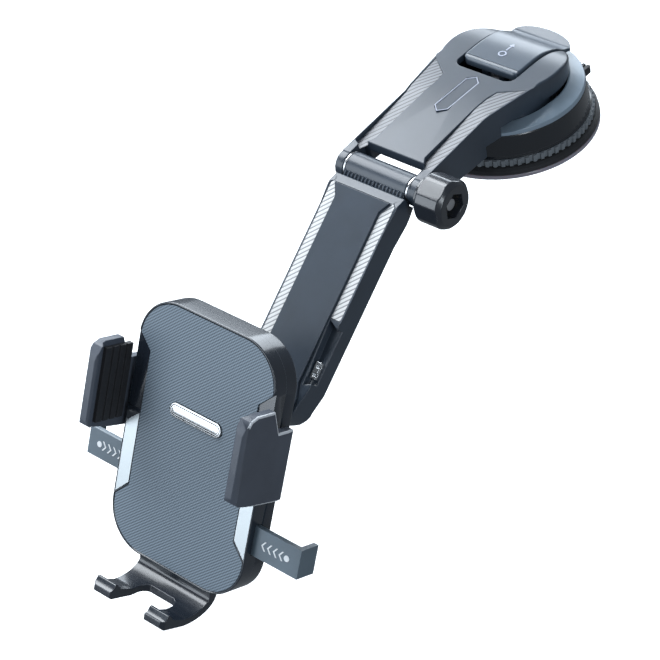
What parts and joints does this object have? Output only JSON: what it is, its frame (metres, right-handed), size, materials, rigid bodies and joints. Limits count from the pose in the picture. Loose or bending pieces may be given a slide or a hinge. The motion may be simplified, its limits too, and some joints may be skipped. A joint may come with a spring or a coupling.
{
  "type": "car phone mount",
  "caption": "Suction-base dashboard phone mount: lever lock, knob-clamped folding arm, ball joint, and a rounded cradle with coupled jaws, push slides and a forked foot.",
  "frame": {"origin": "centre of the suction face, which lies on the dashboard or windscreen", "axes": "+Z away from the surface along the cup axis, -Y towards the arm and the user, +X to the side of the hinge knob"},
  "size_m": [0.1158, 0.2929, 0.1138],
  "materials": {
    "gel_clear_grey": "tacky satin",
    "black_rubber": "matte",
    "black_plastic": "satin moulded",
    "collar_grey": "satin moulded",
    "frame_grey": "fine satin moulded",
    "lever_grey": "fine satin moulded",
    "dark_weave": "twill film",
    "silver_weave": "twill film",
    "bright_trim": "polished",
    "steel": "machined",
    "brass": "machined",
    "knob_black": "glossy",
    "mesh_rubber": "fine diamond mesh",
    "acetal_white": "natural",
    "mark_white": "printed",
    "slide_grey": "fine satin moulded",
    "spring_steel": "drawn wire"
  },
  "bodies": {
    "base": {"gel_pad": "gel_clear_grey", "suction_cup": "black_rubber", "cup_shell": "black_plastic", "fin_ring": "black_plastic", "cup_collar": "collar_grey", "top_frame": "frame_grey", "neck_cover": "black_plastic", "base_strip_left": "dark_weave", "base_strip_right": "dark_weave", "label_plate": "bright_trim", "rod_spring": "spring_steel", "base_screws": "steel", "hinge_bolt": "steel", "hinge_washers": "steel"},
    "rod": {"pull_rod": "steel", "rod_pin": "steel"},
    "lever": {"lock_lever": "lever_grey", "lever_mark": "mark_white"},
    "knob": {"knob": "knob_black", "knob_nut": "brass"},
    "arm": {"arm_body": "frame_grey", "arm_panel": "frame_grey", "arm_cover": "black_plastic", "arm_strip_left": "silver_weave", "arm_strip_right": "silver_weave", "arm_clip": "bright_trim", "arm_screws": "steel", "ball_stud": "black_plastic", "stud_screw": "steel"},
    "tilt_cup": {"liner_inner": "acetal_white"},
    "swivel_cup": {"liner_outer": "acetal_white"},
    "cradle": {"front_frame": "frame_grey", "face_pad": "mesh_rubber", "badge": "bright_trim", "side_trims": "silver_weave", "back_shell": "black_plastic", "ball_socket": "black_plastic", "cradle_screws": "steel", "clamp_spring_left": "spring_steel", "clamp_spring_right": "spring_steel"},
    "ring": {"ring_nut": "black_plastic"},
    "gear": {"pinion": "acetal_white"},
    "left_clamp": {"carriage_left": "slide_grey", "jaw_left": "frame_grey", "jaw_pad_left": "black_rubber", "slide_marks_right": "mark_white"},
    "right_clamp": {"carriage_right": "slide_grey", "jaw_right": "frame_grey", "jaw_pad_right": "black_rubber", "slide_marks_left": "mark_white"},
    "foot": {"foot_bracket": "frame_grey"}
  },
  "joints": [
    {"name": "rod_lift", "type": "slide", "parent": "base", "child": "rod", "axis": [0, 0, -1], "range_m": [0, 0.0022], "deforming": ["rod_spring"]},
    {"name": "lever_lock", "type": "hinge", "parent": "rod", "child": "lever", "pos_m": [0, 0, 0.025], "axis": [1, 0, 0], "range_deg": [0, 62.6]},
    {"name": "knob_turn", "type": "hinge", "parent": "base", "child": "knob", "pos_m": [0, -0.0761, 0.0211], "axis": [1, 0, 0], "continuous": true},
    {"name": "arm_hinge", "type": "hinge", "parent": "base", "child": "arm", "pos_m": [0, -0.0761, 0.0211], "axis": [1, 0, 0], "range_deg": [-45, 45]},
    {"name": "ball_tilt", "type": "hinge", "parent": "arm", "child": "tilt_cup", "pos_m": [0, -0.16756, -0.01595], "axis": [1, 0, 0], "range_deg": [-45, 10]},
    {"name": "ball_swivel", "type": "hinge", "parent": "tilt_cup", "child": "swivel_cup", "pos_m": [0, -0.16756, -0.01595], "axis": [0, 0.4633, 0.8862], "range_deg": [-18, 18]},
    {"name": "ball_roll", "type": "hinge", "parent": "swivel_cup", "child": "cradle", "pos_m": [0, -0.16756, -0.01595], "axis": [0, -0.8862, 0.4633], "range_deg": [-90, 90]},
    {"name": "ring_turn", "type": "hinge", "parent": "cradle", "child": "ring", "pos_m": [0, -0.16756, -0.01595], "axis": [0, -0.8862, 0.4633], "continuous": true},
    {"name": "jaw_right_slide", "type": "slide", "parent": "cradle", "child": "right_clamp", "axis": [1, 0, 0], "range_m": [0, 0.012], "stiffness_N_per_m": 150, "springref_m": -0.006, "deforming": ["clamp_spring_right"]},
    {"name": "jaw_left_slide", "type": "slide", "parent": "cradle", "child": "left_clamp", "axis": [1, 0, 0], "range_m": [-0.012, 0], "deforming": ["clamp_spring_left"]},
    {"name": "gear_spin", "type": "hinge", "parent": "cradle", "child": "gear", "pos_m": [0, -0.19584, -0.02904], "axis": [0, -0.8862, 0.4633], "range_deg": [0, 115]},
    {"name": "foot_slide", "type": "slide", "parent": "cradle", "child": "foot", "axis": [0, -0.4633, -0.8862], "range_m": [0, 0.012]}
  ],
  "couplings": [
    {"joint": "lever_lock", "follows": "rod_lift", "rad_per_m": 491.87},
    {"joint": "jaw_left_slide", "follows": "jaw_right_slide", "ratio": -1},
    {"joint": "gear_spin", "follows": "jaw_right_slide", "rad_per_m": 166.67}
  ]
}
